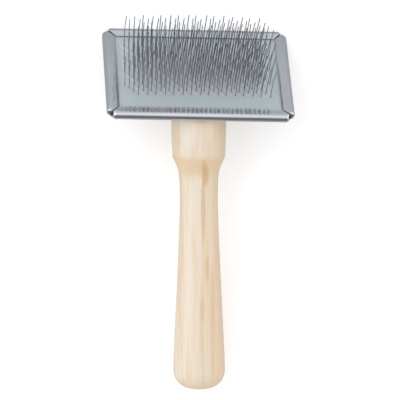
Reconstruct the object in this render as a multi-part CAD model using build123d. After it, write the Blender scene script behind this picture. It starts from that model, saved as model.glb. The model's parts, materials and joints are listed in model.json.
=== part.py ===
"""Slicker brush for grooming pets: a turned wooden handle, a folded tinned-steel head pan,
and a crowned wire-set pad held under the pan's hemmed edges.

The brush lies on its back: the far edge of the pan and the end of the grip touch the table at z = 0,
and the wires point up. +X runs across the head, +Y points from the grip towards the head.
The origin is the centre of the bounding box, at table level.
Lengths are in millimetres, and angles in degrees."""

from build123d import *
from math import asin, atan, atan2, cos, degrees, hypot, radians, sin
import os

# Head pan
PAN_WIDTH = 105.0
PAN_HEIGHT = 73.0
PAN_DEPTH = 5.0
SHEET = 0.6
FLANGE_WIDTH = 7.1  # from the outside of the hem to the flange's free edge
FLANGE_TILT = 9.0  # the flange presses inwards on the pad
CORNER_CUT = 1.2  # chamfer at the corners of the flat back, where the hems stop

# Pad: felt cushion, woven foundation and rubber face, all with the same crown
PAD_MARGIN = 3.0  # from the outside of the pan to the edge of the pad
FELT_EDGE = 1.0
CLOTH = 0.7
FACE = 1.3
CROWN = 2.2
CROWN_DEGREE = 4  # degree of the crown's surface in each direction

# Wire staples
ROWS = 16
STAPLES = 8
WIRE = 0.5
LEG_SPACING = 5.4
STAPLE_PITCH = 9.82
ROW_PITCH = 2.72
TWILL_ROWS = 4  # the rows step sideways, and start again after this many
TWILL_STEP = 2.37
FIRST_LEG = -34.5  # leftmost leg of the row nearest the handle
FIRST_ROW = -18.9
SHANK = 12.5  # wire between the pad and the knee
TIP = 12.5  # wire beyond the knee
KNEE = 18.0  # towards the handle
KNEE_RADIUS = 2.5
CROWN_RADIUS = 0.6
FAN = 0.75  # share of the pad's slope that a staple follows

# Handle
HANDLE_ANGLE = 55.0  # between the handle's axis and the plane of the pan
HANDLE_SKEW = 2.0  # the head is set this much askew on the handle
EDGE_TO_AXIS = 23.0  # along the pan's back, from its near edge to the handle's axis
COLLAR_RADIUS = 15.3
COLLAR_END = 18.0  # distances down the handle, from where its axis meets the pan
COLLAR_TAPER = 2.0  # below its straight part the collar narrows at this angle
BREAK = (14.85, 33.4)  # radius and distance where the collar turns in to the shoulder
SHOULDER = (13.1, 38.6)  # where the shoulder is steepest
SHOULDER_SLOPE = 25.0  # its angle to the axis there
NECK = (10.7, 60.0)  # the slimmest place
GRIP_RADIUS = 14.6
END_RADIUS = 10.0
HANDLE_LENGTH = 167.1

# Screws from inside the pan into the handle
SCREW_PLACES = [(-7.0, -6.0), (7.0, -6.0), (0.0, 5.0)]  # from the handle's axis, in the pan's plane
SCREW_LENGTH = 16.0
SCREW_RADIUS = 1.75
SCREW_CORE = 1.2
SCREW_POINT = 3.0
THREAD_PITCH = 1.4
HEAD_RADIUS = 3.5
HEAD_HEIGHT = 1.75
SCREW_CLEARANCE = 0.3

HEM = PAN_DEPTH / 2
OPEN_WIDTH = PAN_WIDTH - 2 * FLANGE_WIDTH
OPEN_HEIGHT = PAN_HEIGHT - 2 * FLANGE_WIDTH
FELT_BASE = SHEET
CLOTH_BASE = SHEET + FELT_EDGE
FACE_BASE = CLOTH_BASE + CLOTH
AXIS_V = EDGE_TO_AXIS - PAN_HEIGHT / 2


def grip_end_centre():
    """Centre of the arc at the grip's end, as distance down the axis and distance from it."""
    return HANDLE_LENGTH - END_RADIUS, GRIP_RADIUS - END_RADIUS


def resting_tilt():
    """Angle of the handle above the table, which the pan's far hem and the end of the grip both touch."""
    a = radians(HANDLE_ANGLE)
    reach = PAN_HEIGHT - EDGE_TO_AXIS - HEM
    hem_y = reach * cos(a) + HEM * sin(a)
    hem_z = -reach * sin(a) + HEM * cos(a)
    end_y, end_r = grip_end_centre()
    dy = hem_y + end_y
    dz = hem_z + end_r
    tilt = atan2(-dz, dy) + asin((HEM - END_RADIUS) / hypot(dy, dz))
    axis_height = HEM - hem_y * sin(tilt) - hem_z * cos(tilt)
    return degrees(tilt), axis_height


TILT, AXIS_HEIGHT = resting_tilt()
HEAD_TILT = HANDLE_ANGLE - TILT
HANDLE_PLACE = Location((0, 0, AXIS_HEIGHT), (0, 0, HANDLE_SKEW)) * Location((0, 0, 0), (TILT, 0, 0))
HEAD_PLACE = Location((0, 0, AXIS_HEIGHT), (-HEAD_TILT, 0, 0)) * Location((0, -AXIS_V, 0))


def bump(t):
    """Height of the crown's profile at t from 0 to 1, as a share of its control points' height."""
    return 1 - (1 - t) ** CROWN_DEGREE - t**CROWN_DEGREE


def bump_slope(t):
    return CROWN_DEGREE * ((1 - t) ** (CROWN_DEGREE - 1) - t ** (CROWN_DEGREE - 1))


CONTROL_HEIGHT = CROWN / bump(0.5) ** 2


def crown_at(u, v):
    """Rise of the pad at a place in the pan's opening, and its slopes along u and v."""
    s = u / OPEN_WIDTH + 0.5
    t = v / OPEN_HEIGHT + 0.5
    rise = CONTROL_HEIGHT * bump(s) * bump(t)
    slope_u = CONTROL_HEIGHT * bump_slope(s) * bump(t) / OPEN_WIDTH
    slope_v = CONTROL_HEIGHT * bump(s) * bump_slope(t) / OPEN_HEIGHT
    return rise, slope_u, slope_v


def hem_section():
    """Outline of one folded edge, its base, half-round hem and flange, with x outwards from the hem's axis."""
    top = radians(90 + FLANGE_TILT)
    reach = (FLANGE_WIDTH - HEM) / cos(radians(FLANGE_TILT))

    def on_arc(radius, angle):
        return radius * cos(angle), HEM + radius * sin(angle)

    def inwards(point):
        run = radians(FLANGE_TILT)
        return point[0] - reach * cos(run), point[1] - reach * sin(run)

    inner = HEM - SHEET
    outer_top = on_arc(HEM, top)
    inner_top = on_arc(inner, top)
    with BuildSketch() as section:
        with BuildLine():
            Line((-HEM, 0), (0, 0))
            ThreePointArc((0, 0), on_arc(HEM, radians(FLANGE_TILT / 2)), outer_top)
            Line(outer_top, inwards(outer_top))
            Line(inwards(outer_top), inwards(inner_top))
            Line(inwards(inner_top), inner_top)
            ThreePointArc(inner_top, on_arc(inner, radians(FLANGE_TILT / 2)), (0, SHEET))
            Line((0, SHEET), (-HEM, SHEET))
            Line((-HEM, SHEET), (-HEM, 0))
        make_face()
    return section.sketch


def folded_edge(length, across):
    """A hem along X at y = across / 2, with a half round that ends square and a mitred flange."""
    place = Plane(origin=(-length / 2, across / 2 - HEM, 0), x_dir=(0, 1, 0), z_dir=(1, 0, 0))
    hem = extrude(place * hem_section(), amount=length)
    half = length / 2 - HEM - CORNER_CUT
    bend = across / 2 - HEM
    depth = FLANGE_WIDTH
    with BuildSketch() as mitre:
        with BuildLine():
            Polyline(
                (-half, bend),
                (-half, across),
                (half, across),
                (half, bend),
                (half - depth, bend - depth),
                (depth - half, bend - depth),
                close=True,
            )
        make_face()
    return hem & extrude(mitre.sketch, amount=2 * PAN_DEPTH, both=True)


def head_pan():
    with BuildSketch() as blank:
        Rectangle(PAN_WIDTH - 2 * HEM, PAN_HEIGHT - 2 * HEM)
        chamfer(blank.vertices(), CORNER_CUT)
    pan = extrude(blank.sketch, amount=SHEET)
    pan += folded_edge(PAN_WIDTH, PAN_HEIGHT)
    pan += Rot(Z=180) * folded_edge(PAN_WIDTH, PAN_HEIGHT)
    pan += Rot(Z=90) * folded_edge(PAN_HEIGHT, PAN_WIDTH)
    pan += Rot(Z=-90) * folded_edge(PAN_HEIGHT, PAN_WIDTH)
    for u, v in SCREW_PLACES:
        pan -= Pos(u, v + AXIS_V) * Cylinder(SCREW_RADIUS + SCREW_CLEARANCE, 4 * SHEET)
    return pan


def below_crown(level):
    """Everything in the pad's outline from the pan's floor up to the crown, whose edge is at this level."""
    width = PAN_WIDTH - 2 * PAD_MARGIN
    height = PAN_HEIGHT - 2 * PAD_MARGIN
    with BuildSketch(Plane.XY.offset(FELT_BASE)) as outline:
        Rectangle(width, height)
        chamfer(outline.vertices(), CORNER_CUT + HEM)
    slab = extrude(outline.sketch, amount=level - FELT_BASE)
    rows = []
    for i in range(CROWN_DEGREE + 1):
        row = []
        for j in range(CROWN_DEGREE + 1):
            inside = 0 < i < CROWN_DEGREE and 0 < j < CROWN_DEGREE
            row.append(
                Vector(
                    (i / CROWN_DEGREE - 0.5) * OPEN_WIDTH,
                    (j / CROWN_DEGREE - 0.5) * OPEN_HEIGHT,
                    level + (CONTROL_HEIGHT if inside else 0),
                )
            )
        rows.append(row)
    crown = Solid.extrude(Face.make_bezier_surface(rows), Vector(0, 0, -2 * PAN_DEPTH))
    room = Box(width, height, 4 * PAN_DEPTH, align=(Align.CENTER, Align.CENTER, Align.MIN))
    return slab + (crown & (Pos(0, 0, FELT_BASE) * room))


def pad_felt():
    felt = below_crown(CLOTH_BASE)
    for u, v in SCREW_PLACES:
        relief = Cylinder(
            HEAD_RADIUS + SCREW_CLEARANCE,
            HEAD_HEIGHT + SCREW_CLEARANCE,
            align=(Align.CENTER, Align.CENTER, Align.MIN),
        )
        felt -= Pos(u, v + AXIS_V, FELT_BASE) * relief
    return felt


def staple():
    """One U of wire with knees in both legs, its pad surface at z = 0 and its crown under the cloth."""
    side = LEG_SPACING / 2
    depth = -(FACE + CLOTH + WIRE / 2)
    tip_y = -TIP * sin(radians(KNEE))
    tip_z = SHANK + TIP * cos(radians(KNEE))
    path = FilletPolyline(
        (-side, tip_y, tip_z),
        (-side, 0, SHANK),
        (-side, 0, depth),
        (side, 0, depth),
        (side, 0, SHANK),
        (side, tip_y, tip_z),
        radius=[KNEE_RADIUS, CROWN_RADIUS, CROWN_RADIUS, KNEE_RADIUS],
    )
    end = Plane(origin=path @ 0, z_dir=path % 0)
    return sweep(end * Circle(WIRE / 2), path=path)


def staple_row(index, wire):
    """The staples of one row, counted from 0 at the handle's side."""
    group, step = divmod(index, TWILL_ROWS)
    restart = STAPLE_PITCH - TWILL_ROWS * TWILL_STEP
    first = FIRST_LEG + LEG_SPACING / 2 + group * restart - step * TWILL_STEP
    v = FIRST_ROW + index * ROW_PITCH
    staples = []
    for i in range(STAPLES):
        u = first + i * STAPLE_PITCH
        rise, slope_u, slope_v = crown_at(u, v)
        lean_u = -degrees(atan(slope_u * FAN))
        lean_v = degrees(atan(slope_v * FAN))
        place = Location((u, v, FACE_BASE + FACE + rise), (lean_v, lean_u, 0))
        staples.append(place * wire)
    return staples


def fixing_screw():
    """A round-headed wood screw along -Z, its head's seat at z = 0."""
    threads = int((SCREW_LENGTH - SCREW_POINT) / THREAD_PITCH)
    outline = [(0, HEAD_HEIGHT), (HEAD_RADIUS - 1, HEAD_HEIGHT), (HEAD_RADIUS, HEAD_HEIGHT / 2)]
    outline += [(HEAD_RADIUS, 0), (SCREW_RADIUS, 0), (SCREW_RADIUS, -THREAD_PITCH)]
    for i in range(1, threads):
        depth = -(i + 0.5) * THREAD_PITCH
        outline.append((SCREW_CORE, depth))
        outline.append((SCREW_RADIUS, depth - THREAD_PITCH / 4))
        outline.append((SCREW_CORE, depth - THREAD_PITCH / 2))
    outline += [(SCREW_CORE, -SCREW_LENGTH + SCREW_POINT), (0, -SCREW_LENGTH)]
    with BuildSketch(Plane.XZ) as half:
        with BuildLine():
            Polyline(*outline, close=True)
        make_face()
    screw = revolve(half.sketch, axis=Axis.Z)
    slot = Pos(0, 0, HEAD_HEIGHT) * Box(2 * HEAD_RADIUS, 0.8, HEAD_HEIGHT)
    return screw - slot


def fixing_screws():
    return [Pos(u, v + AXIS_V, SHEET) * fixing_screw() for u, v in SCREW_PLACES]


def handle_blank():
    """The turned handle along Y, with the pan's back crossing its axis at the origin."""
    head_room = 2 * COLLAR_RADIUS
    arc_y, arc_r = grip_end_centre()
    corner = radians(-45)
    collar = Vector(COLLAR_RADIUS, -COLLAR_END)
    corner_top = Vector(BREAK[0], -BREAK[1])
    shoulder = Vector(SHOULDER[0], -SHOULDER[1])
    neck = Vector(NECK[0], -NECK[1])
    grip = Vector(GRIP_RADIUS, -arc_y)
    down = Vector(0, -1)
    taper = Vector(-sin(radians(COLLAR_TAPER)), -cos(radians(COLLAR_TAPER)))
    slope = Vector(-sin(radians(SHOULDER_SLOPE)), -cos(radians(SHOULDER_SLOPE)))
    narrowing = (corner_top - collar).length
    turn = (shoulder - corner_top).length
    hollow = (neck - shoulder).length
    swell = (grip - neck).length
    with BuildSketch() as half:
        with BuildLine():
            Line((0, head_room), (COLLAR_RADIUS, head_room))
            Line((COLLAR_RADIUS, head_room), collar)
            Bezier(collar, collar + down * narrowing / 3, corner_top - taper * narrowing / 3, corner_top)
            Bezier(corner_top, corner_top + taper * turn / 3, shoulder - slope * turn / 2, shoulder)
            Bezier(shoulder, shoulder + slope * hollow / 4.5, neck - down * hollow * 0.7, neck)
            Bezier(neck, neck + down * swell / 5, grip - down * swell / 10, grip)
            ThreePointArc(
                (GRIP_RADIUS, -arc_y),
                (arc_r + END_RADIUS * cos(corner), END_RADIUS * sin(corner) - arc_y),
                (arc_r, -HANDLE_LENGTH),
            )
            Line((arc_r, -HANDLE_LENGTH), (0, -HANDLE_LENGTH))
            Line((0, -HANDLE_LENGTH), (0, head_room))
        make_face()
    return revolve(half.sketch, axis=Axis.Y)


def handle():
    """The handle in the row's frame, cut obliquely where it seats on the pan, with pilot holes."""
    wood = HANDLE_PLACE * handle_blank()
    room = 2 * PAN_HEIGHT
    wood -= HEAD_PLACE * Box(room, room, room, align=(Align.CENTER, Align.CENTER, Align.MIN))
    for u, v in SCREW_PLACES:
        pilot = Cylinder(SCREW_CORE, 2 * SCREW_LENGTH)
        relief = Cylinder(SCREW_RADIUS, 2 * THREAD_PITCH)
        wood -= HEAD_PLACE * Pos(u, v + AXIS_V) * pilot
        wood -= HEAD_PLACE * Pos(u, v + AXIS_V) * relief
    return wood


def in_head(shape):
    """Solids given in the pan's own frame, placed in the row's."""
    solids = shape if isinstance(shape, list) else shape.solids()
    return [HEAD_PLACE * solid for solid in solids]


def build_parts():
    felt_block = below_crown(CLOTH_BASE)
    cloth_block = below_crown(FACE_BASE)
    face_block = below_crown(FACE_BASE + FACE)
    wire = staple()
    parts = {
        "handle": handle().solids(),
        "head_pan": in_head(head_pan()),
        "pad_felt": in_head(pad_felt()),
        "pad_cloth": in_head(cloth_block - felt_block),
        "pad_face": in_head(face_block - cloth_block),
        "fixing_screws": in_head(fixing_screws()),
    }
    for i in range(ROWS):
        parts[f"staple_row_{i + 1:02d}"] = in_head(staple_row(i, wire))
    return parts


def centring(parts):
    """The move that puts the origin midway between the grip's end and the furthest wire tip."""
    low = parts["handle"][0].bounding_box().min.Y
    high = max(wire.bounding_box().max.Y for wire in parts[f"staple_row_{ROWS:02d}"])
    return Pos(0, -(low + high) / 2, 0)


os.makedirs("parts", exist_ok=True)
PARTS = build_parts()
SHIFT = centring(PARTS)
for name, solids in PARTS.items():
    placed = [SHIFT * solid for solid in solids]
    shape = placed[0] if len(placed) == 1 else Compound(children=placed)
    shape.label = name
    export_step(shape, f"parts/{name}.step")
print("handle tilt", TILT, "head tilt", HEAD_TILT, "axis height", AXIS_HEIGHT)
print("grip end at", (SHIFT * HANDLE_PLACE * Pos(0, -HANDLE_LENGTH, 0)).position)
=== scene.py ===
"""Slicker brush: the finished look of a wire-pin grooming brush, modelled around its CAD frame.

The head is modelled in the pan's own frame, with u across the head, v away from the handle and n out of
the pad, and the handle in a frame of its own, with Y along its axis towards the head. Both are then
placed in the frame of the whole brush, which lies on its back with the wires pointing up."""

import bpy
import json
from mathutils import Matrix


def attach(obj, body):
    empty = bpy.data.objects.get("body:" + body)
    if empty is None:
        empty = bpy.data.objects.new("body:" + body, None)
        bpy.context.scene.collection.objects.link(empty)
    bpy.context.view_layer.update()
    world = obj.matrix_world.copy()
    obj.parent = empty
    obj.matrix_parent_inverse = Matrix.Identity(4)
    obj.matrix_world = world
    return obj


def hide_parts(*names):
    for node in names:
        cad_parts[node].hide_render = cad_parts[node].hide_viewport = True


bl_info = {
    "name": "Slicker Brush",
    "version": (1, 0, 0),
    "blender": (4, 5, 0),
    "location": "View3D > Sidebar > Slicker Brush",
    "description": "Models a wooden-handled slicker brush with a tinned head pan and a wire-set pad",
    "category": "Object",
}

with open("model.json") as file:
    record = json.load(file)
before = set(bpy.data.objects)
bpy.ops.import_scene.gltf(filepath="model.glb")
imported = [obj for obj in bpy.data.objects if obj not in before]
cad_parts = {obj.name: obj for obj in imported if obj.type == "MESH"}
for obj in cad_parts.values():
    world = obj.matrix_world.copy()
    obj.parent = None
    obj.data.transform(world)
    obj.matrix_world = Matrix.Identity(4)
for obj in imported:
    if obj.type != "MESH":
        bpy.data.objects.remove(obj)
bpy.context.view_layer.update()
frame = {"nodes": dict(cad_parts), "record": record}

import json
import math
import random

import bmesh
import bpy
from bpy.props import FloatProperty, FloatVectorProperty, IntProperty, PointerProperty
from mathutils import Euler, Matrix, Vector, noise

BODY = "root"
MM = 0.001
MOUNTS = {mount["name"]: mount for mount in frame["record"]["mounts"]}
GRIP_END = Vector(MOUNTS["grip_end"]["pos_m"])
AXIS = -Vector(MOUNTS["grip_end"]["axis"])
HANDLE_TILT = math.asin(AXIS.z)
HANDLE_SKEW = math.atan2(-AXIS.x, AXIS.y)


# Settings


def length(name, text, value):
    """A property in metres, from a value in millimetres."""
    return FloatProperty(name=name, description=text, default=value * MM, subtype="DISTANCE", unit="LENGTH")


def angle(name, text, value):
    """A property in radians, from a value in degrees."""
    return FloatProperty(name=name, description=text, default=math.radians(value), subtype="ANGLE")


def colour(name, text, value):
    return FloatVectorProperty(
        name=name, description=text, default=value, size=3, subtype="COLOR", min=0, max=1
    )


def place(name, text, value):
    """A point, from a value in millimetres."""
    metres = [v * MM for v in value]
    return FloatVectorProperty(name=name, description=text, default=metres, subtype="XYZ", unit="LENGTH")


def share(name, text, value):
    return FloatProperty(name=name, description=text, default=value, min=0, max=1, subtype="FACTOR")


class HandleSettings(bpy.types.PropertyGroup):
    full_length: length("Length", "From where the axis meets the pan to the end of the grip", 167.1)
    collar_radius: length("Collar radius", "Radius of the straight collar under the pan", 15.3)
    collar_end: length("Collar end", "From the pan to where the straight collar ends", 18.0)
    collar_taper: angle("Collar taper", "How far the collar narrows below its straight part", 2.0)
    break_radius: length("Break radius", "Radius where the collar turns in to the shoulder", 14.85)
    break_down: length("Break", "From the pan to where the collar turns in", 33.4)
    shoulder_radius: length("Shoulder radius", "Radius where the shoulder is steepest", 13.1)
    shoulder_down: length("Shoulder", "From the pan to where the shoulder is steepest", 38.6)
    shoulder_slope: angle("Shoulder slope", "Angle between the shoulder and the axis", 25.0)
    neck_radius: length("Neck radius", "Radius at the slimmest place", 10.7)
    neck_down: length("Neck", "From the pan to the slimmest place", 60.0)
    grip_radius: length("Grip radius", "Largest radius of the grip", 14.6)
    end_radius: length("End rounding", "Radius of the rounding at the end of the grip", 10.0)
    pale_wood: colour("Pale wood", "Colour between the grain lines", (0.78, 0.69, 0.565))
    # the grain's colour, which also serves as the painted shade on the wood
    grain_and_shade_wood: colour("Grain and shade", "Colour of the grain lines", (0.73, 0.53, 0.32))
    streak_wood: colour("Streaks", "Colour of the darker mineral streaks", (0.61, 0.39, 0.19))


class PanSettings(bpy.types.PropertyGroup):
    width: length("Width", "Outside width across the head", 105.0)
    height: length("Height", "Outside height of the pan, along its plane", 73.0)
    hem_radius: length("Hem radius", "Outside radius of the folded edges", 2.5)
    sheet: length("Sheet", "Thickness of the tinned sheet", 0.6)
    flange_width: length("Flange width", "From the outside of the hem to the flange's free edge", 7.1)
    flange_tilt: angle("Flange tilt", "How far the flange presses inwards", 9.0)
    corner_cut: length("Corner cut", "Chamfer of the flat back, where the hems stop", 0.8)
    handle_angle: angle("Handle angle", "Between the handle's axis and the pan", 55.0)
    edge_to_axis: length("Edge to axis", "From the pan's near edge to the handle's axis", 23.0)
    flange_curl: angle("Flange curl", "How much further a side flange's edge curls onto the pad", 20.0)
    curl_width: length("Curl width", "Width of the curled edge", 1.2)
    crimp: length("Crimp", "Length over which the open ends of the hems are pressed in", 1.6)
    tin: colour("Tin", "Colour of the bright tinplate", (0.64, 0.66, 0.69))
    tin_shade: colour("Dull tin", "Colour where the tin has dulled", (0.54, 0.56, 0.59))


class PadSettings(bpy.types.PropertyGroup):
    margin: length("Margin", "From the outside of the pan to the edge of the pad", 3.0)
    level: length("Level", "Height of the rubber's surface at its edges, above the pan's back", 3.6)
    face: length("Face", "Thickness of the rubber", 1.3)
    crown: length("Crown", "Rise of the pad's middle", 2.2)
    pucker: length("Pucker", "Height of the rubber drawn up round a wire", 0.16)
    pucker_radius: length("Pucker radius", "How far the rubber is drawn up round a wire", 0.85)
    crease: length("Crease", "Depth of the creases from wire to wire", 0.10)
    rubber: colour("Rubber", "Colour of the smooth rubber", (0.42, 0.48, 0.505))
    # lighter than the plain rubber: partly a tint, partly painted light lifting the shade the wires cast
    tinted_lit_rubber: colour("Tinted, lit rubber", "Colour of the rubber between the wires", (0.51, 0.535, 0.56))


class WireSettings(bpy.types.PropertyGroup):
    rows: IntProperty(name="Rows", description="Rows of staples", default=16, min=1)
    staples: IntProperty(name="Staples", description="Staples in a row", default=8, min=1)
    wire: length("Wire", "Diameter of the wire", 0.5)
    leg_spacing: length("Leg spacing", "Between the two legs of a staple", 5.4)
    staple_pitch: length("Staple pitch", "From one staple to the next in its row", 9.82)
    row_pitch: length("Row pitch", "From one row to the next", 2.72)
    twill_rows: IntProperty(name="Twill rows", description="Rows before it starts again", default=4, min=1)
    twill_step: length("Twill step", "How far each row steps sideways", 2.37)
    first_leg: length("First leg", "Place across the head of the first row's first leg", -34.5)
    first_row: length("First row", "Place of the first row along the pan", -18.9)
    shank: length("Shank", "Wire between the pad and the knee", 12.5)
    tip: length("Tip", "Wire beyond the knee", 12.5)
    knee: angle("Knee", "Bend of the wire towards the handle", 18.0)
    knee_radius: length("Knee radius", "Radius of the knee's bend", 2.5)
    crown_radius: length("Crown radius", "Radius of the bends under the pad", 0.6)
    depth: length("Depth", "From the pad's surface down to the middle of the staple's crown", 2.25)
    fan: share("Fan", "Share of the pad's slope that a staple follows", 0.75)
    stray: length("Stray", "Usual distance that a wire's tip has strayed with use", 0.32)
    steel: colour("Steel", "Colour of the drawn wire", (0.27, 0.28, 0.29))


class StageSettings(bpy.types.PropertyGroup):
    camera_distance: length("Camera distance", "From the camera to the point it looks at", 2239.5)
    camera_side: angle("Camera side", "How far the camera stands to the right of straight above", -5.684)
    camera_forward: angle("Camera forward", "How far the camera stands towards the head", 1.387)
    camera_roll: angle("Camera roll", "Turn of the camera about its line of sight", 1.129)
    camera_lens: FloatProperty(name="Lens", description="Focal length on a 36 mm sensor", default=357.7)
    camera_aim: place("Camera aim", "Point that the camera looks at", (3.5, 1.5, 20.0))
    softbox_place: place("Softbox", "Where it stands, to the left of the brush", (-1000.0, 500.0, 1400.0))
    softbox_size: length("Softbox size", "Side of the square softbox", 1200.0)
    softbox_power: FloatProperty(name="Softbox power", description="In watts", default=6.5, min=0)
    floor: colour("Floor", "Colour of the floor", (0.88, 0.88, 0.88))
    # darker than the far one: painted shadow of the brush on the floor, seen only in reflections
    near_reflection_shade: colour("Near reflection shade", "Reflected colour of the floor by the brush", (0.26, 0.27, 0.28))
    far_surround: colour("Far surround", "Reflected colour of the floor further off", (0.34, 0.36, 0.37))
    room: colour("Room", "Colour of the room's soft light", (0.97, 0.98, 1.0))


SETTINGS = {
    "brush_handle": HandleSettings,
    "brush_pan": PanSettings,
    "brush_pad": PadSettings,
    "brush_wires": WireSettings,
    "brush_stage": StageSettings,
}


# Frames


def handle_matrix(handle):
    """From the handle's own frame to the brush's."""
    origin = GRIP_END + AXIS * handle.full_length
    return Matrix.Translation(origin) @ Euler((HANDLE_TILT, 0, HANDLE_SKEW)).to_matrix().to_4x4()


def head_matrix(scene):
    """From the pan's own frame, whose origin is the middle of its back, to the brush's."""
    pan = scene.brush_pan
    origin = GRIP_END + AXIS * scene.brush_handle.full_length
    tilt = Matrix.Rotation(HANDLE_TILT - pan.handle_angle, 4, "X")
    return Matrix.Translation(origin) @ tilt @ Matrix.Translation((0, pan.height / 2 - pan.edge_to_axis, 0))


# Mesh work


def start(kind, name, **words):
    """Adds a primitive with nothing else selected, names it and goes into edit mode."""
    bpy.ops.object.select_all(action="DESELECT")
    getattr(bpy.ops.mesh, f"primitive_{kind}_add")(**words)
    piece = bpy.context.object
    piece.name = name
    piece.data.name = name
    bpy.ops.object.transform_apply(location=True, rotation=True, scale=True)
    enter_edit()
    return piece


def pick(piece, kind, wanted):
    """In edit mode, selects the vertices, edges or faces that pass the test, and nothing else."""
    modes = {"verts": (True, False, False), "edges": (False, True, False), "faces": (False, False, True)}
    bpy.context.tool_settings.mesh_select_mode = modes[kind]
    bpy.ops.mesh.select_all(action="DESELECT")
    mesh = bmesh.from_edit_mesh(piece.data)
    for item in getattr(mesh, kind):
        if wanted(item):
            item.select_set(True)
    mesh.select_flush_mode()
    bmesh.update_edit_mesh(piece.data)


def pick_all():
    bpy.ops.mesh.select_all(action="SELECT")


def extrude(move):
    bpy.ops.mesh.extrude_region_move(TRANSFORM_OT_translate={"value": tuple(move)})


def roll(steps, turn, centre, axis):
    """Spins what is selected about an axis, right-handed, and leaves its far end selected."""
    bpy.ops.mesh.spin(steps=steps, angle=-turn, center=tuple(centre), axis=tuple(axis))


def scale_about(factors, centre):
    bpy.ops.transform.resize(value=tuple(factors), center_override=tuple(centre))


def face_outwards():
    pick_all()
    bpy.ops.mesh.normals_make_consistent(inside=False)


def enter_edit():
    bpy.ops.object.mode_set(mode="EDIT")


def leave_edit():
    bpy.ops.object.mode_set(mode="OBJECT")


def select_only(piece):
    bpy.ops.object.select_all(action="DESELECT")
    piece.select_set(True)
    bpy.context.view_layer.objects.active = piece


def apply_modifier(piece, kind, **settings):
    """Adds a modifier with these settings and applies it."""
    select_only(piece)
    made = piece.modifiers.new(kind.title(), kind)
    for name, value in settings.items():
        setattr(made, name, value)
    bpy.ops.object.modifier_apply(modifier=made.name)


def put_in_frame(piece, matrix):
    """Moves the piece's mesh into the brush's frame, so that its object stays at the origin."""
    select_only(piece)
    piece.matrix_world = matrix
    bpy.ops.object.transform_apply(location=True, rotation=True, scale=True)


def finish_piece(piece, material, slot, *nodes, smooth=35):
    """Gives the piece its shading, its material and its part in the frame."""
    select_only(piece)
    bpy.ops.object.shade_smooth_by_angle(angle=math.radians(smooth))
    piece.data.materials.clear()
    piece.data.materials.append(material)
    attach(piece, BODY)
    if nodes:
        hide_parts(*nodes)


def bezier(points, steps):
    """Points along a cubic curve, without its first one."""
    a, b, c, d = (Vector(p) for p in points)
    found = []
    for i in range(1, steps + 1):
        t = i / steps
        s = 1 - t
        found.append(a * s**3 + b * 3 * s * s * t + c * 3 * s * t * t + d * t**3)
    return found


# Shader work


def feed(socket, value):
    """Links the socket to the value if that is another node's output, and sets it otherwise."""
    if isinstance(value, bpy.types.NodeSocket):
        socket.id_data.links.new(value, socket)
    else:
        socket.default_value = value


def add_node(tree, kind, settings=None, **inputs):
    """Adds a node, sets its own settings, and feeds its inputs by name."""
    made = tree.nodes.new(kind)
    for name, value in (settings or {}).items():
        setattr(made, name, value)
    for name, value in inputs.items():
        feed(made.inputs[name.replace("_", " ")], value)
    return made


def calculate(operation, first, *others, **settings):
    """A Math node's result, or that of a chain of them where more than two values are given."""
    for other in others:
        linked = first if isinstance(first, bpy.types.NodeSocket) else other
        made = add_node(linked.id_data, "ShaderNodeMath", {"operation": operation, **settings})
        feed(made.inputs[0], first)
        feed(made.inputs[1], other)
        first = made.outputs[0]
    return first


def blend_colours(amount, first, second):
    """A Mix node's colour. A plain colour is given as three numbers."""
    made = add_node(amount.id_data, "ShaderNodeMix", {"data_type": "RGBA"})
    feed(made.inputs[0], amount)
    for socket, colour_given in ((made.inputs[6], first), (made.inputs[7], second)):
        linked = isinstance(colour_given, bpy.types.NodeSocket)
        feed(socket, colour_given if linked else (*colour_given, 1))
    return made.outputs[2]


def step_between(value, low, high, to_low=0.0, to_high=1.0):
    """The value's place between two limits, eased, and brought between two others."""
    limits = {"From_Min": low, "From_Max": high, "To_Min": to_low, "To_Max": to_high}
    eased = {"interpolation_type": "SMOOTHSTEP"}
    made = add_node(value.id_data, "ShaderNodeMapRange", eased, Value=value, **limits)
    return made.outputs["Result"]


def change_vector(operation, vector, amounts):
    """The vector with the amounts added to its directions, or multiplied into them."""
    made = add_node(vector.id_data, "ShaderNodeVectorMath", {"operation": operation})
    feed(made.inputs[0], vector)
    feed(made.inputs[1], amounts)
    return made.outputs[0]


def stretched(vector, scale):
    """The vector with each of its directions scaled."""
    return change_vector("MULTIPLY", vector, scale)


def fog(vector, scale, **more):
    """A Noise texture's value."""
    return add_node(vector.id_data, "ShaderNodeTexNoise", Vector=vector, Scale=scale, **more).outputs["Fac"]


def new_group(name, inputs, output):
    """An empty node group, its inputs and its output. An input without a number is a vector."""
    group = bpy.data.node_groups.new(name, "ShaderNodeTree")
    for socket, value in inputs.items():
        kind = "NodeSocketVector" if value is None else "NodeSocketFloat"
        made = group.interface.new_socket(socket, in_out="INPUT", socket_type=kind)
        if value is not None:
            made.default_value = value
    group.interface.new_socket(output, in_out="OUTPUT", socket_type="NodeSocketFloat")
    given = group.nodes.new("NodeGroupInput").outputs
    return group, given, group.nodes.new("NodeGroupOutput").inputs[output]


def build_mottle():
    """Soft, uneven patches, as on felt, rubber, dull metal and wood."""
    group, given, result = new_group("Mottle", {"Vector": None, "Scale": 100.0, "Contrast": 1.0}, "Value")
    patches = fog(given["Vector"], given["Scale"], Detail=5.0, Roughness=0.6)
    centred = calculate("SUBTRACT", patches, 0.5)
    spread = calculate("MULTIPLY", centred, given["Contrast"])
    feed(result, calculate("ADD", spread, 0.5, use_clamp=True))
    return group


def build_scratches():
    """Fine scratches that run mostly along one direction of the vector."""
    inputs = {"Vector": None, "Scale": 400.0, "Sparseness": 0.6}
    group, given, result = new_group("Fine scratches", inputs, "Mask")
    long_way = stretched(given["Vector"], (0.06, 1.0, 1.0))
    lines = fog(long_way, given["Scale"], Detail=3.0, Distortion=0.4)
    high = calculate("ADD", given["Sparseness"], 0.12)
    feed(result, step_between(lines, given["Sparseness"], high))
    return group


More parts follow.
